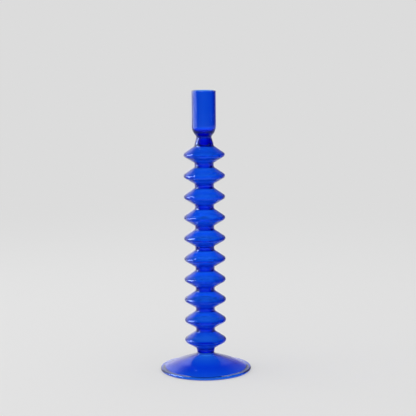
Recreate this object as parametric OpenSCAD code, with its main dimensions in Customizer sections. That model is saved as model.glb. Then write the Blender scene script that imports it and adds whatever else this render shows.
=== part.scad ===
// Glass candlestick for one standard taper candle, lamp-worked from three
// hollow glass members that are flame-sealed end to end:
//   foot        low conical dome on a rolled rim, open underneath
//   stem        one tube worked into a row of sharp-edged bulges
//   candle_cup  straight socket with a closed, rounded bottom
// The origin is at the centre of the foot's resting ring and +Z is up.

/* [Overall] */
// Height from the table to the lip of the cup
overall_h = 300; // [250:1:360]

/* [Candle cup] */
// Diameter of the candle that the socket takes
candle_d = 22; // [18:0.5:27]
// Gap all round between the candle and the socket wall
candle_gap = 0.2; // [0.1:0.05:0.45]
// Depth of the socket from the lip to the floor
candle_depth = 44; // [30:1:50]
// Thickness of the socket wall
cup_wall = 1.6; // [1.2:0.1:2.4]
// Thickness of the floor under the candle
cup_floor = 2.4; // [1.6:0.1:3]
// Height of the hollow between the seal and the floor's underside
cup_under_h = 3.1; // [2.6:0.1:4]
// Radius between the socket wall and its floor
cup_floor_round = 6; // [3:0.5:8]
// Height of the flare from the neck up to the full width of the cup
cup_flare_h = 5.8; // [4.5:0.1:7.5]
// Radius of the cup's shoulder, where the flare meets the wall
cup_shoulder_round = 12; // [6:1:16]
// Height of the plain neck below the flare
cup_neck_h = 1.5; // [1.2:0.1:3]
// Radius between the neck and the flare
cup_neck_round = 2; // [1:0.25:2.5]

/* [Stem] */
// Number of bulges
bulge_count = 10; // [7:1:13]
// Diameter over the edge of a bulge
bulge_d = 43.8; // [36:0.2:54]
// Radius of a bulge's edge
bulge_edge_round = 3; // [1.8:0.1:3.2]
// Distance that the edge sits below the middle of its bulge
edge_drop = 0.3; // [0:0.1:0.6]
// Diameter of the tube, which is left bare at each waist
tube_d = 20.2; // [16.6:0.2:24.4]
// Height of each waist between two bulges
waist_h = 3.9; // [3.4:0.1:6]
// Radius where a waist turns into a bulge
waist_round = 2; // [1:0.1:2.2]
// Thickness of a bulge's two flanks
flank_wall = 1.2; // [1:0.1:1.5]
// Thickness of the tube at a waist, where the worked glass gathers
waist_wall = 2.6; // [1.8:0.1:2.8]
// Radius of the hollow inside a bulge's edge
hollow_edge_round = 2.5; // [1.8:0.1:3]
// Radius where the hollow of the last bulge at either end runs into a neck
hollow_neck_round = 3; // [2:0.5:4]
// Height of the neck between the foot's seal and the lowest bulge
low_neck_h = 5; // [4:0.1:8]
// Height of the neck between the highest bulge and the cup's seal
high_neck_h = 8.5; // [7:0.1:14]
// Height of the plain tube before the upper neck draws in
high_neck_plain_h = 1.8; // [1.2:0.1:2.8]
// Radius where the plain tube starts to draw in
high_neck_round = 4; // [2:0.5:5]

/* [Seals] */
// Diameter of the stem where it is sealed to the cup
cup_seal_d = 16.1; // [13:0.1:19]
// Diameter of the stem where it is sealed to the foot
foot_seal_d = 18.3; // [14:0.1:20]
// Thickness of the wall where two members are sealed
seal_wall = 2; // [1.4:0.1:2.4]

/* [Foot] */
// Diameter of the foot
foot_d = 97.4; // [80:0.2:118]
// Height of the seal above the table
foot_h = 18.9; // [17:0.1:23]
// Height of the dome's top, where its slope would meet the neck
crown_h = 17.1; // [14:0.1:17.4]
// Distance from the axis at which the dome swells above a straight cone
swell_r = 31; // [26:1:33]
// Height of that swelling
swell_h = 1; // [0.2:0.1:1.4]
// Radius over the top of the swelling
swell_round = 40; // [20:1:50]
// Height of the rolled rim at its outer edge
rim_h = 2.8; // [2.4:0.1:3.2]
// Width of the rolled rim, from the outer edge to where the dome starts
rim_top_w = 4.2; // [3.8:0.1:5]
// Distance that the rim's top rises over that width
rim_rise = 0.4; // [0.2:0.1:0.6]
// Radius between the rim's top and the dome
rim_top_round = 1; // [0.5:0.1:2]
// Distance from the outer edge to the inner edge of the resting ring
rim_w = 2.4; // [2.2:0.1:2.8]
// Height of the rim's inner face, with a shallow groove behind it
rim_inner_h = 1.8; // [1.2:0.1:1.9]
// Distance from the outer edge to the thick part of the dome behind that groove
thick_w = 5.2; // [5:0.1:6.4]
// Gap between that thick part and the table
thick_gap = 0.8; // [0.5:0.1:1.1]
// Thickness of the dome near the neck
foot_wall = 2; // [1.5:0.1:2.5]
// Radius between the dome and the neck
crown_round = 2; // [1:0.25:2]

/* [Hidden] */
$fn = 128;
glass_blue = [0.02, 0.13, 0.78, 0.55];
// Flats that stand for each rounded corner
corner_steps = 8;
// Share of an edge's thickness that one of its two rounded corners takes
edge_share = 0.47;
// Share of the hollow's height that the rounding under the floor takes
under_floor_share = 0.8;

// Roundings of the groove under the rim
rim_inner_round = 0.6;
thick_round = 3;

// Where the three members are sealed to each other
foot_seal_z = foot_h;
cup_seal_z = overall_h - candle_depth - cup_floor - cup_under_h;
foot_seal_r = foot_seal_d / 2;
cup_seal_r = cup_seal_d / 2;

// A row of equal bulges fills the height between the two necks
tube_r = tube_d / 2;
row_bottom_z = foot_seal_z + low_neck_h;
row_top_z = cup_seal_z - high_neck_h;
pitch = (row_top_z - row_bottom_z + waist_h) / bulge_count;
bulge_h = pitch - waist_h;
over_slope = flank_slope(bulge_h / 2 + edge_drop);
under_slope = flank_slope(bulge_h / 2 - edge_drop);

// The hollow's flanks run along the outer ones, and one arc carries its wall past each waist
bore_r = tube_r - waist_wall;
over_wall_h = flank_wall / cos(over_slope);
under_wall_h = flank_wall / cos(under_slope);
waist_reach = (waist_h + over_wall_h + under_wall_h) / (tan(over_slope) + tan(under_slope));
hollow_waist_r = tube_r - waist_reach;
hollow_waist_round = (waist_reach - waist_wall) / (1 / cos(90 - (over_slope + under_slope) / 2) - 1);
hollow_bottom_z = row_bottom_z - waist_reach * tan(under_slope) + under_wall_h;

// Candle cup
socket_r = candle_d / 2 + candle_gap;
cup_r = socket_r + cup_wall;
socket_floor_z = overall_h - candle_depth;
cup_flare_z = cup_seal_z + cup_neck_h;
lip_round = edge_share * cup_wall;

// Foot
foot_r = foot_d / 2;
foot_bore_r = foot_seal_r - seal_wall;
rim_round = edge_share * rim_h;
dome_low_r = foot_r - rim_top_w;
dome_low_z = rim_h + rim_rise;
dome_slope = atan2(crown_h - dome_low_z, dome_low_r - foot_seal_r);
swell_z = dome_low_z + (dome_low_r - swell_r) * tan(dome_slope) + swell_h;
dome_under_z = crown_h + (foot_seal_r - foot_bore_r) * tan(dome_slope)
    - foot_wall / cos(dome_slope);

// Slope of a flank that rises by rise from a waist, as a tangent to the circle of the edge
function flank_slope(rise) =
    let (run = bulge_d / 2 - bulge_edge_round - tube_r)
    atan2(rise, run) - asin(bulge_edge_round / norm([run, rise]));

function unit(v) = v / norm(v);

// The arc of radius r that rounds the corner b between a and c
function corner_arc(a, b, c, r) =
    let (
        u = unit(a - b),
        v = unit(c - b),
        half = acos(u * v) / 2,
        centre = b + unit(u + v) * r / sin(half),
        from = b + u * r / tan(half) - centre,
        to = b + v * r / tan(half) - centre,
        start = atan2(from.y, from.x),
        turn = (atan2(to.y, to.x) - start + 540) % 360 - 180
    )
    [for (i = [0:corner_steps]) let (t = start + turn * i / corner_steps)
        centre + r * [cos(t), sin(t)]];

// An outline from corners [radius, height, rounding]
function rounded(corners) =
    let (n = len(corners), at = [for (k = corners) [k[0], k[1]]])
    [for (i = [0:n - 1])
        each (corners[i][2] == 0 ? [at[i]]
            : corner_arc(at[(i + n - 1) % n], at[i], at[(i + 1) % n], corners[i][2]))];

module turned(corners) {
    rotate_extrude() polygon(rounded(corners));
}

// The corner where a bulge's two flanks would meet, from the height and radius they start at
function edge_corner(bottom_z, height, root_r, rounding) =
    let (reach = height / (tan(over_slope) + tan(under_slope)))
    [root_r + reach, bottom_z + reach * tan(under_slope), rounding];

// Corners of the row of bulges, from the bottom to the top
outer_row = [
    for (i = [0:bulge_count - 1])
        let (z = row_bottom_z + i * pitch)
        each [
            [tube_r, z, waist_round],
            edge_corner(z, bulge_h, tube_r, bulge_edge_round),
            [tube_r, z + bulge_h, waist_round]
        ]
];

// Corners of the hollow, from the bottom to the top
hollow_row = [
    [bore_r, row_bottom_z - waist_wall * tan(under_slope) + under_wall_h, hollow_neck_round],
    for (i = [0:bulge_count - 1])
        let (z = hollow_bottom_z + i * pitch)
        each [
            if (i > 0) [hollow_waist_r, z, hollow_waist_round],
            edge_corner(z, pitch, hollow_waist_r, hollow_edge_round)
        ],
    [bore_r, row_top_z + waist_wall * tan(over_slope) - over_wall_h, hollow_neck_round]
];

function reversed(list) = [for (i = [len(list) - 1:-1:0]) list[i]];

module foot() {
    color(glass_blue) turned([
        [foot_r - rim_w, 0, 0],
        [foot_r, 0, rim_round],
        [foot_r, rim_h, rim_round],
        [dome_low_r, dome_low_z, rim_top_round],
        [swell_r, swell_z, swell_round],
        [foot_seal_r, crown_h, crown_round],
        [foot_seal_r, foot_seal_z, 0],
        [foot_bore_r, foot_seal_z, 0],
        [foot_bore_r, dome_under_z, crown_round + foot_wall],
        [foot_r - thick_w, thick_gap, thick_round],
        [foot_r - rim_w, rim_inner_h, rim_inner_round]
    ]);
}

module stem() {
    neck_z = row_top_z + high_neck_plain_h;
    color(glass_blue) turned(concat(
        [[foot_seal_r, foot_seal_z, 0]],
        outer_row,
        [
            [tube_r, neck_z, high_neck_round],
            [cup_seal_r, cup_seal_z, 0],
            [cup_seal_r - seal_wall, cup_seal_z, 0]
        ],
        reversed(hollow_row),
        [[foot_seal_r - seal_wall, foot_seal_z, 0]]
    ));
}

module candle_cup() {
    neck_bore_r = cup_seal_r - seal_wall;
    under_floor_z = socket_floor_z - cup_floor;
    under_floor_round = under_floor_share * cup_under_h;
    color(glass_blue) turned([
        [cup_seal_r, cup_seal_z, 0],
        [cup_seal_r, cup_flare_z, cup_neck_round],
        [cup_r, cup_flare_z + cup_flare_h, cup_shoulder_round],
        [cup_r, overall_h, lip_round],
        [socket_r, overall_h, lip_round],
        [socket_r, socket_floor_z, cup_floor_round],
        [0, socket_floor_z, 0],
        [0, under_floor_z, 0],
        [neck_bore_r, under_floor_z, under_floor_round],
        [neck_bore_r, cup_seal_z, 0]
    ]);
}

foot();
stem();
candle_cup();
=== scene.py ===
"""The looks of a lamp-worked glass candlestick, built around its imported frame.

Three hollow members of clear cobalt-blue borosilicate glass, flame-sealed end to end: a foot, a
stem of ten bulges and a cup for one taper candle. Sizes are in millimetres up to the moment
that a vertex is made, and the overall ones come from the frame.
"""
import math
import random

import bmesh
import bpy
from mathutils import Matrix, Vector


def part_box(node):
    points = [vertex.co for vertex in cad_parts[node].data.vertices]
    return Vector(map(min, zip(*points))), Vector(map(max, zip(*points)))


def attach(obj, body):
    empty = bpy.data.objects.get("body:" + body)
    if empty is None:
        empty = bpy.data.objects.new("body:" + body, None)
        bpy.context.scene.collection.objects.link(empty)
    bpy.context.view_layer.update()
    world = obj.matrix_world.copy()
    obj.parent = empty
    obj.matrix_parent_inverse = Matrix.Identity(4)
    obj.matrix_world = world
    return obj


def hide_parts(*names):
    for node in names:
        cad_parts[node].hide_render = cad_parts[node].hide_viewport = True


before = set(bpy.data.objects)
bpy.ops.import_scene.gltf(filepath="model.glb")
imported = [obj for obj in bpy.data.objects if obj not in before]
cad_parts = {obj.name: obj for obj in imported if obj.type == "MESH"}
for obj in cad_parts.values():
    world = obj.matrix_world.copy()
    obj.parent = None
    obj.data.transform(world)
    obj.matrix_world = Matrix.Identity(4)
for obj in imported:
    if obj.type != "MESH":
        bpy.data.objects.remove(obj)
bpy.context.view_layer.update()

MM = 0.001


def span(node):
    """Radius, lowest height and highest height of a turned member, in millimetres."""
    low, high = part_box(node)
    return high.x / MM, low.z / MM, high.z / MM


FOOT_R, TABLE_Z, FOOT_SEAL_Z = span("foot")
BULGE_R, STEM_LOW_Z, STEM_HIGH_Z = span("stem")
CUP_R, CUP_SEAL_Z, LIP_Z = span("candle_cup")

# The tube that the stem is worked from, and its two drawn-in ends
TUBE_R = 10.1
WAIST_WALL = 2.6
FLANK_WALL = 1.2
SEAL_WALL = 2.0
FOOT_SEAL_R = 9.15
CUP_SEAL_R = 8.05
LOW_NECK_H = 5.0
HIGH_NECK_H = 8.5
PLAIN_NECK_H = 1.8       # tube left as it is before the upper neck draws in
NECK_ROUND = 4.0
# The bulges
BULGES = 10
WAIST_H = 3.9
EDGE_DROP = 0.3          # the edge sits this far below the middle of its bulge
EDGE_ROUND = 3.0
WAIST_ROUND = 2.0
HOLLOW_EDGE_ROUND = 2.5
SAG = 0.5                # how far the middle bulges hang below an even spacing
UNEVENNESS = 0.1
SHORTFALL = 0.2          # how much smaller than the widest a bulge may be
TOP_SHORTFALL = 0.3
# The cup
CUP_WALL = 1.6
CANDLE_DEPTH = 44.0
CUP_FLOOR = 2.4
CUP_NECK_H = 1.5
FLARE_H = 5.8
LIP_ROUND = 0.75
FLOOR_ROUND = 6.0
UNDER_FLOOR_ROUND = 2.4
SHOULDER_ROUND = 12.0
CUP_NECK_ROUND = 2.0
# The foot: a dome that swells a little above a cone, on a rolled rim
CROWN_Z = 17.1
CROWN_ROUND = 2.0
FOOT_WALL = 2.0
SWELL_R = 31.0
SWELL_H = 1.0
SWELL_ROUND = 40.0
RIM_H = 2.8
RIM_W = 2.4
RIM_ROUND = 1.3
RIM_RISE = 0.4
RIM_TOP_W = 4.2
RIM_TOP_ROUND = 1.0
RIM_INNER_H = 1.8
RIM_INNER_ROUND = 0.6
REST_ROUND = 0.3
THICK_W = 5.2            # from the outer edge in to the thick part behind the rim
THICK_GAP = 0.8
THICK_ROUND = 3.0

SEAL_GAP = 0.03          # keeps the end faces of two members from lying in each other
TURNS = 112              # sides of a turned surface
ARC_CUTS = 8             # flats along a rounded corner
LONGEST_EDGE = 3.0
CUT_EDGE = 2.0           # about how long the parts of a longer edge are
ON_AXIS = 1e-9           # in metres, as is the next
WELD = 1e-7


# ---------------------------------------------------------------- turning

def unit(v):
    return v / v.length


def turned(name, corners):
    """A closed shell turned round Z from an outline of corners (radius, height, rounding)."""
    bm = bmesh.new()
    at = [Vector((r, 0.0, z)) * MM for r, z, _ in corners]
    verts = [bm.verts.new(p) for p in at]
    for here, there in zip(verts, verts[1:] + verts[:1]):
        if not (here.co.x < ON_AXIS and there.co.x < ON_AXIS):
            bm.edges.new((here, there))
    for i, (_, _, rounding) in enumerate(corners):
        if rounding:
            before = unit(at[i - 1] - at[i])
            after = unit(at[(i + 1) % len(at)] - at[i])
            run = rounding * MM / math.tan(before.angle(after) / 2)
            bmesh.ops.bevel(bm, geom=[verts[i]], offset=run, offset_type="OFFSET",
                            segments=ARC_CUTS, profile=0.5, affect="VERTICES", material=-1)
    long_edges = [e for e in bm.edges if e.calc_length() > LONGEST_EDGE * MM]
    for edge in long_edges:
        cuts = int(edge.calc_length() / (CUT_EDGE * MM))
        bmesh.ops.subdivide_edges(bm, edges=[edge], cuts=cuts)
    bmesh.ops.spin(bm, geom=bm.verts[:] + bm.edges[:], cent=(0, 0, 0), axis=(0, 0, 1),
                   angle=math.tau, steps=TURNS, use_merge=True)
    bmesh.ops.remove_doubles(bm, verts=bm.verts, dist=WELD)
    bmesh.ops.recalc_face_normals(bm, faces=bm.faces)
    mesh = bpy.data.meshes.new(name)
    bm.to_mesh(mesh)
    bm.free()
    for polygon in mesh.polygons:
        polygon.use_smooth = True
    piece = bpy.data.objects.new(name, mesh)
    bpy.context.scene.collection.objects.link(piece)
    return piece


# ---------------------------------------------------------------- the three members

def flank(rise):
    """Angle of a flank that climbs by rise from a waist and runs into the rounded edge."""
    run = BULGE_R - EDGE_ROUND - TUBE_R
    return math.atan2(rise, run) - math.asin(EDGE_ROUND / math.hypot(run, rise))


row_h = STEM_HIGH_Z - HIGH_NECK_H - STEM_LOW_Z - LOW_NECK_H
pitch = (row_h + WAIST_H) / BULGES
bulge_h = pitch - WAIST_H
over = flank(bulge_h / 2 + EDGE_DROP)
under = flank(bulge_h / 2 - EDGE_DROP)


def bulge_edge(bottom_z, height, root_r):
    """The corner where the two flanks of a bulge would meet, from where they start."""
    reach = height / (math.tan(under) + math.tan(over))
    return root_r + reach, bottom_z + reach * math.tan(under)


# Worked by eye: the soft middle of the tube sagged a little, and no bulge is quite like the next
hand = random.Random(11)
offsets = [hand.uniform(-UNEVENNESS, UNEVENNESS) - SAG * math.sin(math.pi * (i + 0.5) / BULGES)
           for i in range(BULGES)]
shortfalls = [hand.uniform(0.0, SHORTFALL) for i in range(BULGES - 1)] + [TOP_SHORTFALL]


def outer_wall():
    """Corners of the stem's outside along the bulges, from the lowest up."""
    corners = []
    for i in range(BULGES):
        bottom_z = STEM_LOW_Z + LOW_NECK_H + i * pitch + offsets[i]
        edge_r, edge_z = bulge_edge(bottom_z, bulge_h, TUBE_R)
        corners += [(TUBE_R, bottom_z, WAIST_ROUND),
                    (edge_r - shortfalls[i], edge_z, EDGE_ROUND),
                    (TUBE_R, bottom_z + bulge_h, WAIST_ROUND)]
    return corners


def inner_wall():
    """Corners of the hollow from the lowest up: its flanks run along the outer ones, and one
    arc carries the wall past each waist."""
    under_drop, over_drop = FLANK_WALL / math.cos(under), FLANK_WALL / math.cos(over)
    waist_reach = (WAIST_H + under_drop + over_drop) / (math.tan(under) + math.tan(over))
    waist_corner_r = TUBE_R - waist_reach
    waist_corner_h = waist_reach * math.tan(under) - under_drop
    bend = math.pi / 2 - (under + over) / 2
    waist_round = (waist_reach - WAIST_WALL) / (1 / math.cos(bend) - 1)
    corners = []
    for i in range(BULGES):
        bottom_z = STEM_LOW_Z + LOW_NECK_H + i * pitch
        inside_z = bottom_z - waist_corner_h
        waist_offset = (offsets[max(i - 1, 0)] + offsets[i]) / 2
        edge_r, edge_z = bulge_edge(inside_z, pitch, waist_corner_r)
        corners += [(waist_corner_r, inside_z + waist_offset, waist_round),
                    (edge_r - shortfalls[i], edge_z + offsets[i], HOLLOW_EDGE_ROUND)]
    return corners + [(waist_corner_r, inside_z + pitch, waist_round)]


def make_stem():
    low, high = STEM_LOW_Z + SEAL_GAP, STEM_HIGH_Z - SEAL_GAP
    neck_z = STEM_HIGH_Z - HIGH_NECK_H + PLAIN_NECK_H
    return turned("stem_glass_tube", [(FOOT_SEAL_R, low, 0)] + outer_wall() + [
        (TUBE_R, neck_z, NECK_ROUND),
        (CUP_SEAL_R, high, 0),
        (CUP_SEAL_R - SEAL_WALL, high, 0)] + inner_wall()[::-1] + [
        (FOOT_SEAL_R - SEAL_WALL, low, 0)])


def make_cup():
    bore_r = CUP_R - CUP_WALL
    floor_z = LIP_Z - CANDLE_DEPTH
    neck_bore_r = CUP_SEAL_R - SEAL_WALL
    flare_z = CUP_SEAL_Z + CUP_NECK_H
    return turned("candle_cup_glass", [
        (CUP_SEAL_R, CUP_SEAL_Z, 0),
        (CUP_SEAL_R, flare_z, CUP_NECK_ROUND),
        (CUP_R, flare_z + FLARE_H, SHOULDER_ROUND),
        (CUP_R, LIP_Z, LIP_ROUND),
        (bore_r, LIP_Z, LIP_ROUND),
        (bore_r, floor_z, FLOOR_ROUND),
        (0, floor_z, 0),
        (0, floor_z - CUP_FLOOR, 0),
        (neck_bore_r, floor_z - CUP_FLOOR, UNDER_FLOOR_ROUND),
        (neck_bore_r, CUP_SEAL_Z, 0)])


def make_foot():
    bore_r = FOOT_SEAL_R - SEAL_WALL
    low_r, low_z = FOOT_R - RIM_TOP_W, RIM_H + RIM_RISE
    slope = math.atan2(CROWN_Z - low_z, low_r - FOOT_SEAL_R)
    under_z = CROWN_Z + SEAL_WALL * math.tan(slope) - FOOT_WALL / math.cos(slope)
    swell_z = low_z + (low_r - SWELL_R) * math.tan(slope) + SWELL_H
    return turned("foot_glass_dome", [
        (FOOT_R - RIM_W, TABLE_Z, REST_ROUND),
        (FOOT_R, TABLE_Z, RIM_ROUND),
        (FOOT_R, RIM_H, RIM_ROUND),
        (low_r, low_z, RIM_TOP_ROUND),
        (SWELL_R, swell_z, SWELL_ROUND),
        (FOOT_SEAL_R, CROWN_Z, CROWN_ROUND),
        (FOOT_SEAL_R, FOOT_SEAL_Z, 0),
        (bore_r, FOOT_SEAL_Z, 0),
        (bore_r, under_z, CROWN_ROUND + FOOT_WALL),
        (FOOT_R - THICK_W, THICK_GAP, THICK_ROUND),
        (FOOT_R - RIM_W, RIM_INNER_H, RIM_INNER_ROUND)])


# ---------------------------------------------------------------- glass

def add(tree, kind, links=(), values=(), **settings):
    """Adds a node with its settings, the values of its inputs and the links into it."""
    node = tree.nodes.new(kind)
    for key, value in settings.items():
        setattr(node, key, value)
    for key, value in values:
        node.inputs[key].default_value = value
    for key, socket in links:
        tree.links.new(socket, node.inputs[key])
    return node


def colour(hex_code):
    """An sRGB hex colour as linear RGBA."""
    parts = [int(hex_code[i:i + 2], 16) / 255 for i in (1, 3, 5)]
    linear = [c / 12.92 if c <= 0.04045 else ((c + 0.055) / 1.055) ** 2.4 for c in parts]
    return (*linear, 1.0)


def new_material(name):
    material = bpy.data.materials.new(name)
    material.use_nodes = True
    material.node_tree.nodes.clear()
    return material, material.node_tree


WHITE = colour("#FFFFFF")
RANGE = ("From Min", "From Max", "To Min", "To Max")
SOFT = {"interpolation_type": "SMOOTHSTEP"}
TIMES = {"operation": "MULTIPLY"}

MIRRORED = (0.35, 0.6, 1.0)    # shares of red, green and blue that the polish mirrors
REFRACTION = 1.473       # borosilicate
# How strongly a metre of the glass takes up red, green and blue
UPTAKE = (1700.0, 759.9, 25.5)
RING_PITCH = 1.6         # coarser than real turning rings, so that they show
RING_DEPTH = 0.7
RING_WANDER = 0.004
MARKED_SHARE = 0.5       # share of each bulge's height, from the waist up, that the tool pressed
MARKED_FADE = 0.15
LIGHTLY = 0.1            # how much of the depth is left above that
BARELY = 0.05            # how much of it is left on the foot and the cup
LOW_FADE_H = 1.0
CUP_FADE_START = 9.0     # below the upper seal
CUP_FADE_END = 6.0
WAVE_PITCH = 14.0
WAVE_DEPTH = 0.06
NOISE_SPAN = (0.3, 0.7)  # where most of a noise's values lie
SMOOTHEST = 0.03
ROUGHEST = 0.06


def ring_depth(tree, height):
    """How deep the rings are at a height: most on each waist and the underside of each bulge."""
    first_z = STEM_LOW_Z + LOW_NECK_H - WAIST_H
    bulge = add(tree, "ShaderNodeMath", [(0, height)],
                [(1, 1 / (pitch * MM)), (2, -first_z / pitch)], operation="MULTIPLY_ADD")
    share = add(tree, "ShaderNodeMath", [(0, bulge.outputs[0])], operation="FRACT")
    marked = add(tree, "ShaderNodeMapRange", [("Value", share.outputs[0])],
                 zip(RANGE, (MARKED_SHARE, MARKED_SHARE + MARKED_FADE, 1.0, LIGHTLY)), **SOFT)
    low_z = STEM_LOW_Z * MM
    off_foot = add(tree, "ShaderNodeMapRange", [("Value", height)],
                   zip(RANGE, (low_z, low_z + LOW_FADE_H * MM, BARELY, 1.0)), **SOFT)
    off_cup = add(tree, "ShaderNodeMapRange", [("Value", height)],
                  zip(RANGE, ((STEM_HIGH_Z - CUP_FADE_START) * MM,
                              (STEM_HIGH_Z - CUP_FADE_END) * MM, 1.0, BARELY)), **SOFT)
    both = add(tree, "ShaderNodeMath", [(0, marked.outputs[0]), (1, off_foot.outputs[0])], **TIMES)
    return add(tree, "ShaderNodeMath", [(0, both.outputs[0]), (1, off_cup.outputs[0])],
               **TIMES).outputs[0]


def cobalt_glass():
    """Borosilicate tube coloured with cobalt, turned in a flame and squeezed with jacks.

    The eye sees a clear deep blue that darkens with thickness, a polish from the flame, fine
    rings where the jacks pressed and slow waves that bend the highlights a little.
    """
    material, tree = new_material("cobalt_borosilicate_glass_flame_polished")
    place = add(tree, "ShaderNodeTexCoord").outputs["Object"]
    axis = add(tree, "ShaderNodeSeparateXYZ", [(0, place)])
    flat = add(tree, "ShaderNodeVectorMath", [(0, place)], [(1, (1, 1, 0))], **TIMES)
    radius = add(tree, "ShaderNodeVectorMath", [(0, flat.outputs[0])], operation="LENGTH")
    turning = add(tree, "ShaderNodeCombineXYZ", [
        ("X", radius.outputs["Value"]), ("Z", axis.outputs["Z"])])
    wander = add(tree, "ShaderNodeVectorMath", [(0, flat.outputs[0]), (2, turning.outputs[0])],
                 [(1, (RING_WANDER, RING_WANDER, 0))], operation="MULTIPLY_ADD")
    rings = add(tree, "ShaderNodeTexNoise", [("Vector", wander.outputs[0])],
                [("Scale", 1 / (RING_PITCH * MM)), ("Detail", 1.0)])
    waves = add(tree, "ShaderNodeTexNoise", [("Vector", place)],
                [("Scale", 1 / (WAVE_PITCH * MM)), ("Detail", 1.0)])
    ringed = add(tree, "ShaderNodeBump", [
        ("Height", rings.outputs[0]), ("Strength", ring_depth(tree, axis.outputs["Z"]))],
        [("Distance", RING_DEPTH * MM)])
    wavy = add(tree, "ShaderNodeBump", [
        ("Height", waves.outputs[0]), ("Normal", ringed.outputs[0])],
        [("Strength", 1.0), ("Distance", WAVE_DEPTH * MM)])
    haze = add(tree, "ShaderNodeMapRange", [("Value", waves.outputs[0])],
               zip(RANGE, (*NOISE_SPAN, SMOOTHEST, ROUGHEST)))
    glass = add(tree, "ShaderNodeBsdfPrincipled", [
        ("Roughness", haze.outputs[0]), ("Normal", wavy.outputs[0])], [
        ("Base Color", WHITE), ("Transmission Weight", 1.0), ("IOR", REFRACTION),
        ("Specular Tint", (*MIRRORED, 1.0))])
    strongest = max(UPTAKE)
    passed = [1 - part / strongest for part in UPTAKE]
    body = add(tree, "ShaderNodeVolumeAbsorption", (), [
        ("Color", (*passed, 1)), ("Density", strongest)])
    add(tree, "ShaderNodeOutputMaterial", [
        ("Surface", glass.outputs[0]), ("Volume", body.outputs[0])])
    return material


GLASS = cobalt_glass()
for piece, node, finish in ((make_foot(), "foot", "foot_glass"),
                            (make_stem(), "stem", "stem_glass"),
                            (make_cup(), "candle_cup", "cup_glass")):
    piece.data.materials.append(GLASS)
    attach(piece, "root")
    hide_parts(node)


# ---------------------------------------------------------------- studio

# Lengths here are in metres. Paper shows a different brightness to a ray that comes straight
# to it, through the glass or mirrored in it, which stands in for lights that are out of view.
TABLE_R = 3.0
TABLE_SINK = 0.0001      # keeps the table top from lying in the resting ring
TABLE_SHARE = 0.5        # share of the light on it that the table scatters
TABLE_GLOW = 0.36        # straight: added to the light that the table scatters
PAPER = 0.716            # straight: the paper all round
NEAR_PAPER = 0.75        # through glass: the table close by, and at its brightest
FULL_PAPER = 1.06
SIDE_PAPER = 0.5         # through glass: share left at both sides, and above
HIGH_PAPER = 0.4
NEAR_MIRRORED = 0.6      # mirrored: the table close by, and farther off
FAR_MIRRORED = 0.15
BACK_MIRRORED = 1.3      # mirrored: the paper behind, and in front
FRONT_MIRRORED = 0.12
RIGHT_MIRRORED = 0.2     # mirrored: share left at the right, and above
HIGH_MIRRORED = 0.05
# From where to where on the table each change takes place
MIRROR_FALL = (0.06, 0.12)
WINDOW_RISE = (0.08, 0.3)
GLOW_RISE = (0.1, 0.6)
GLOW_FALL = (0.9, 2.8)
TABLE_FADE = (0.35, 1.3)
# The same by direction, as the X, Y or Z of an arrow of length 1
SIDE_FALL = (-0.02, 0.45)
HIGH_FALL = (0.1, 0.6)
BACK_RISE = (0.3, 0.75)
RIGHT_FALL = (-0.1, 0.35)
HIGH_MIRROR_FALL = (0.55, 0.85)

LENS = 114.4             # in millimetres, as is the next
SENSOR_W = 36
CAMERA_AT = (0.0037, -1.389, 0.3788)
LOOK_DOWN = 8.33         # in degrees, as is the next
ROLL = -0.495
LIGHT_X = -1.0
FILL_X = -1.2
PANEL_TOP_Z = 0.3
BOUNCES = 32             # light crosses many walls on its way through the hollow bulges


def mirror_share(tree, path):
    """1 on a ray that a surface mirrors, 0 on what is seen directly or through glass."""
    return add(tree, "ShaderNodeMath", [
        (0, path.outputs["Is Glossy Ray"]), (1, path.outputs["Is Reflection Ray"])],
        **TIMES).outputs[0]


def lit_window(tree, direction):
    """Share of the paper's brightness in a direction: less at both sides and above."""
    axis = add(tree, "ShaderNodeSeparateXYZ", [(0, direction)])
    aside = add(tree, "ShaderNodeMath", [(0, axis.outputs["X"])], operation="ABSOLUTE")
    side = add(tree, "ShaderNodeMapRange", [("Value", aside.outputs[0])],
               zip(RANGE, (*SIDE_FALL, 1.0, SIDE_PAPER)), **SOFT)
    high = add(tree, "ShaderNodeMapRange", [("Value", axis.outputs["Z"])],
               zip(RANGE, (*HIGH_FALL, 1.0, HIGH_PAPER)), **SOFT)
    return add(tree, "ShaderNodeMath", [(0, side.outputs[0]), (1, high.outputs[0])],
               **TIMES).outputs[0]


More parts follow.
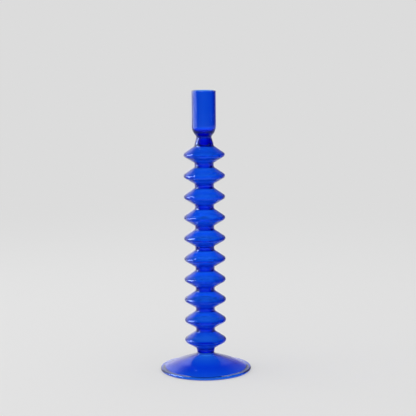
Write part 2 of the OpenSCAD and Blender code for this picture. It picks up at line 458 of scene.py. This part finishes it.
def matt_paper():
    """Matt paper: evenly pale, with a soft shadow, fading into its surroundings far off."""
    material, tree = new_material("pale_matt_paper")
    path = add(tree, "ShaderNodeLightPath")
    place = add(tree, "ShaderNodeTexCoord").outputs["Object"]
    away = add(tree, "ShaderNodeVectorMath", [(0, place)], operation="LENGTH").outputs["Value"]
    towards = add(tree, "ShaderNodeVectorMath", [(0, place)], operation="NORMALIZE")

    mirrored = add(tree, "ShaderNodeMapRange", [("Value", away)],
                   zip(RANGE, (*MIRROR_FALL, NEAR_MIRRORED, FAR_MIRRORED)), **SOFT)
    glow_share = add(tree, "ShaderNodeMix", [(0, mirror_share(tree, path)),
                                             (3, mirrored.outputs[0])], [(2, TABLE_GLOW)])
    paper = add(tree, "ShaderNodeBsdfDiffuse", (), [("Color", (TABLE_SHARE, TABLE_SHARE, TABLE_SHARE, 1.0))])
    glow = add(tree, "ShaderNodeEmission", [("Strength", glow_share.outputs[0])])
    near = add(tree, "ShaderNodeAddShader", [(0, paper.outputs[0]), (1, glow.outputs[0])])
    far = add(tree, "ShaderNodeEmission", (), [("Strength", PAPER)])
    fade = add(tree, "ShaderNodeMapRange", [("Value", away)],
               zip(RANGE, (*TABLE_FADE, 0.0, 1.0)), **SOFT)
    direct = add(tree, "ShaderNodeMixShader", [
        (0, fade.outputs[0]), (1, near.outputs[0]), (2, far.outputs[0])])

    distant = add(tree, "ShaderNodeMapRange", [("Value", away)],
                  zip(RANGE, (*WINDOW_RISE, 0.0, 1.0)), **SOFT)
    window = add(tree, "ShaderNodeMix", [
        (0, distant.outputs[0]), (3, lit_window(tree, towards.outputs[0]))], [(2, 1.0)])
    rise = add(tree, "ShaderNodeMapRange", [("Value", away)],
               zip(RANGE, (*GLOW_RISE, NEAR_PAPER, FULL_PAPER)), **SOFT)
    fall = add(tree, "ShaderNodeMapRange", [("Value", away)],
               zip(RANGE, (*GLOW_FALL, 1.0, PAPER / FULL_PAPER)), **SOFT)
    even = add(tree, "ShaderNodeMath", [(0, rise.outputs[0]), (1, fall.outputs[0])], **TIMES)
    bright = add(tree, "ShaderNodeMath", [(0, even.outputs[0]), (1, window.outputs[0])], **TIMES)
    refracted = add(tree, "ShaderNodeEmission", [("Strength", bright.outputs[0])])

    both = add(tree, "ShaderNodeMixShader", [
        (0, path.outputs["Is Transmission Ray"]), (1, direct.outputs[0]),
        (2, refracted.outputs[0])])
    add(tree, "ShaderNodeOutputMaterial", [("Surface", both.outputs[0])])
    material.cycles.emission_sampling = "NONE"
    return material


def make_table():
    """A round table top that fades into the surroundings."""
    bm = bmesh.new()
    bmesh.ops.create_circle(bm, cap_ends=True, radius=TABLE_R, segments=128,
                            matrix=Matrix.Translation((0, 0, -TABLE_SINK)))
    mesh = bpy.data.meshes.new("table_top")
    bm.to_mesh(mesh)
    bm.free()
    mesh.materials.append(matt_paper())
    table = bpy.data.objects.new("table_top", mesh)
    bpy.context.scene.collection.objects.link(table)


def make_surroundings():
    """Pale paper all round; mirrored, it is dim in front, at the right and high up."""
    world = bpy.data.worlds.new("studio")
    bpy.context.scene.world = world
    world.use_nodes = True
    world.cycles.sampling_method = "NONE"
    tree = world.node_tree
    tree.nodes.clear()
    path = add(tree, "ShaderNodeLightPath")
    place = add(tree, "ShaderNodeTexCoord").outputs["Generated"]
    axis = add(tree, "ShaderNodeSeparateXYZ", [(0, place)])

    back = add(tree, "ShaderNodeMapRange", [("Value", axis.outputs["Y"])],
               zip(RANGE, (*BACK_RISE, FRONT_MIRRORED, BACK_MIRRORED)), **SOFT)
    right = add(tree, "ShaderNodeMapRange", [("Value", axis.outputs["X"])],
                zip(RANGE, (*RIGHT_FALL, 1.0, RIGHT_MIRRORED)), **SOFT)
    high = add(tree, "ShaderNodeMapRange", [("Value", axis.outputs["Z"])],
               zip(RANGE, (*HIGH_MIRROR_FALL, 1.0, HIGH_MIRRORED)), **SOFT)
    level = add(tree, "ShaderNodeMath", [(0, back.outputs[0]), (1, right.outputs[0])], **TIMES)
    behind = add(tree, "ShaderNodeMath", [(0, level.outputs[0]), (1, high.outputs[0])], **TIMES)
    mirrored = add(tree, "ShaderNodeBackground", [("Strength", behind.outputs[0])],
                   [("Color", WHITE)])

    through = add(tree, "ShaderNodeMapRange", [("Value", lit_window(tree, place))],
                  zip(RANGE, (0.0, 1.0, 0.0, PAPER)), **SOFT)
    refracted = add(tree, "ShaderNodeBackground", [("Strength", through.outputs[0])],
                    [("Color", WHITE)])
    direct = add(tree, "ShaderNodeBackground", (), [("Color", WHITE), ("Strength", PAPER)])
    seen = add(tree, "ShaderNodeMixShader", [
        (0, path.outputs["Is Transmission Ray"]), (1, direct.outputs[0]),
        (2, refracted.outputs[0])])
    both = add(tree, "ShaderNodeMixShader", [
        (0, mirror_share(tree, path)), (1, seen.outputs[0]), (2, mirrored.outputs[0])])
    add(tree, "ShaderNodeOutputWorld", [("Surface", both.outputs[0])])


def make_softbox(name, low, high, brightness, lights_table):
    """A soft panel facing +X between two corners; brightness is what its face shows."""
    low, high = Vector(low), Vector(high)
    lamp = bpy.data.lights.new(name, "AREA")
    lamp.shape = "RECTANGLE"
    lamp.size = high.y - low.y
    lamp.size_y = high.z - low.z
    lamp.energy = math.pi * lamp.size * lamp.size_y * brightness
    stand = bpy.data.objects.new(name, lamp)
    stand.location = (low + high) / 2
    stand.rotation_euler = Vector((1, 0, 0)).to_track_quat("-Z", "Y").to_euler()
    stand.visible_camera = False
    stand.visible_transmission = False
    stand.visible_diffuse = lights_table
    bpy.context.scene.collection.objects.link(stand)


def make_camera():
    """A long lens in front of the object, looking slightly down."""
    camera = bpy.data.cameras.new("camera")
    camera.lens = LENS
    camera.sensor_width = SENSOR_W
    stand = bpy.data.objects.new("camera", camera)
    bpy.context.scene.collection.objects.link(stand)
    turn = Matrix.Rotation(math.radians(90 - LOOK_DOWN), 4, "X")
    roll = Matrix.Rotation(math.radians(ROLL), 4, "Z")
    stand.matrix_world = Matrix.Translation(CAMERA_AT) @ turn @ roll
    bpy.context.scene.camera = stand


make_table()
make_surroundings()
make_softbox("left_softbox_low", (LIGHT_X, -0.36, 0.0), (LIGHT_X, 0.75, PANEL_TOP_Z),
             brightness=3.3, lights_table=False)
make_softbox("left_strip_light", (LIGHT_X, -0.05, PANEL_TOP_Z), (LIGHT_X, 0.4, 1.9),
             brightness=16.0, lights_table=False)
make_softbox("left_fill", (FILL_X, -0.6, PANEL_TOP_Z), (FILL_X, 1.0, 1.5),
             brightness=0.8, lights_table=True)
make_camera()
bpy.context.scene.view_settings.view_transform = "Standard"
cycles = bpy.context.scene.cycles
cycles.max_bounces = BOUNCES
cycles.transmission_bounces = BOUNCES
cycles.glossy_bounces = BOUNCES
